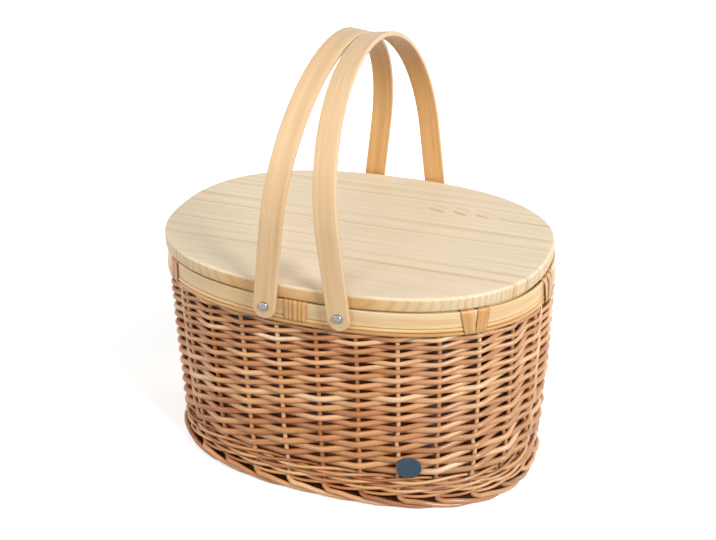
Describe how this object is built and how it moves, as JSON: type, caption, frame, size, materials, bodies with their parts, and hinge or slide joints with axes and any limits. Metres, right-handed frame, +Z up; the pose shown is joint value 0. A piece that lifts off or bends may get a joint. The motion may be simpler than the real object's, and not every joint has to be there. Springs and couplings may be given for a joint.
{
  "type": "picnic basket",
  "caption": "Oval woven willow picnic basket with a cooling liner, a lift-off wooden lid and swinging bentwood carrying handles.",
  "frame": {"origin": "centre of the oval foot, on the surface that the basket stands on", "axes": "+Z up, X along the basket, -Y towards the front with the tag"},
  "size_m": [0.402, 0.3142, 0.4467],
  "materials": {
    "willow": "buff willow rods, satin bark-stripped surface",
    "dark_willow": "buff willow rods, satin, darker where they are shaded and twisted",
    "chip_band": "bent chip wood, lightly lacquered",
    "cane": "split cane, satin",
    "pine": "planed pine board, matt lacquer",
    "bentwood": "steam-bent strip, clear lacquer",
    "liner": "blue-grey insulated cloth",
    "tape": "grey woven edge tape",
    "steel": "bright zinc-plated steel",
    "slate": "slate blue-grey disc, bare"
  },
  "bodies": {
    "basket": {"woven_wall": "willow", "upset_wale": "dark_willow", "foot_border": "dark_willow", "base_mat": "dark_willow", "base_stick_1": "dark_willow", "base_stick_2": "dark_willow", "base_stick_3": "dark_willow", "rim_band_outer": "chip_band", "rim_band_inner": "chip_band", "rim_rod_1": "cane", "rim_rod_2": "cane", "binding_front": "cane", "binding_back": "cane", "binding_front_right": "cane", "binding_back_left": "cane", "binding_right_front": "cane", "binding_left_front": "cane", "binding_right_back": "cane", "binding_left_back": "cane", "liner_floor": "liner", "liner_wall": "liner", "liner_edge_tape": "tape", "pivot_bolt_front_left": "steel", "pivot_bolt_front_right": "steel", "pivot_bolt_back_left": "steel", "pivot_bolt_back_right": "steel", "spacer_front_left": "bentwood", "spacer_front_right": "bentwood", "spacer_back_left": "bentwood", "spacer_back_right": "bentwood", "washer_front_left": "steel", "washer_front_right": "steel", "washer_back_left": "steel", "washer_back_right": "steel", "nut_front_left": "steel", "nut_front_right": "steel", "nut_back_left": "steel", "nut_back_right": "steel", "front_tag": "slate"},
    "lid": {"lid_board": "pine", "lid_pad": "liner"},
    "left_handle": {"handle_left": "bentwood"},
    "right_handle": {"handle_right": "bentwood"}
  },
  "joints": [
    {"name": "lid_lift", "type": "slide", "parent": "basket", "child": "lid", "axis": [0, 0, 1], "range_m": [0, 0.05]},
    {"name": "left_handle_swing", "type": "hinge", "parent": "basket", "child": "left_handle", "pos_m": [-0.0374, 0, 0.2235], "axis": [0, -1, 0], "range_deg": [0, 135.5]},
    {"name": "right_handle_swing", "type": "hinge", "parent": "basket", "child": "right_handle", "pos_m": [0.0374, 0, 0.2235], "axis": [0, 1, 0], "range_deg": [0, 135.5]}
  ]
}
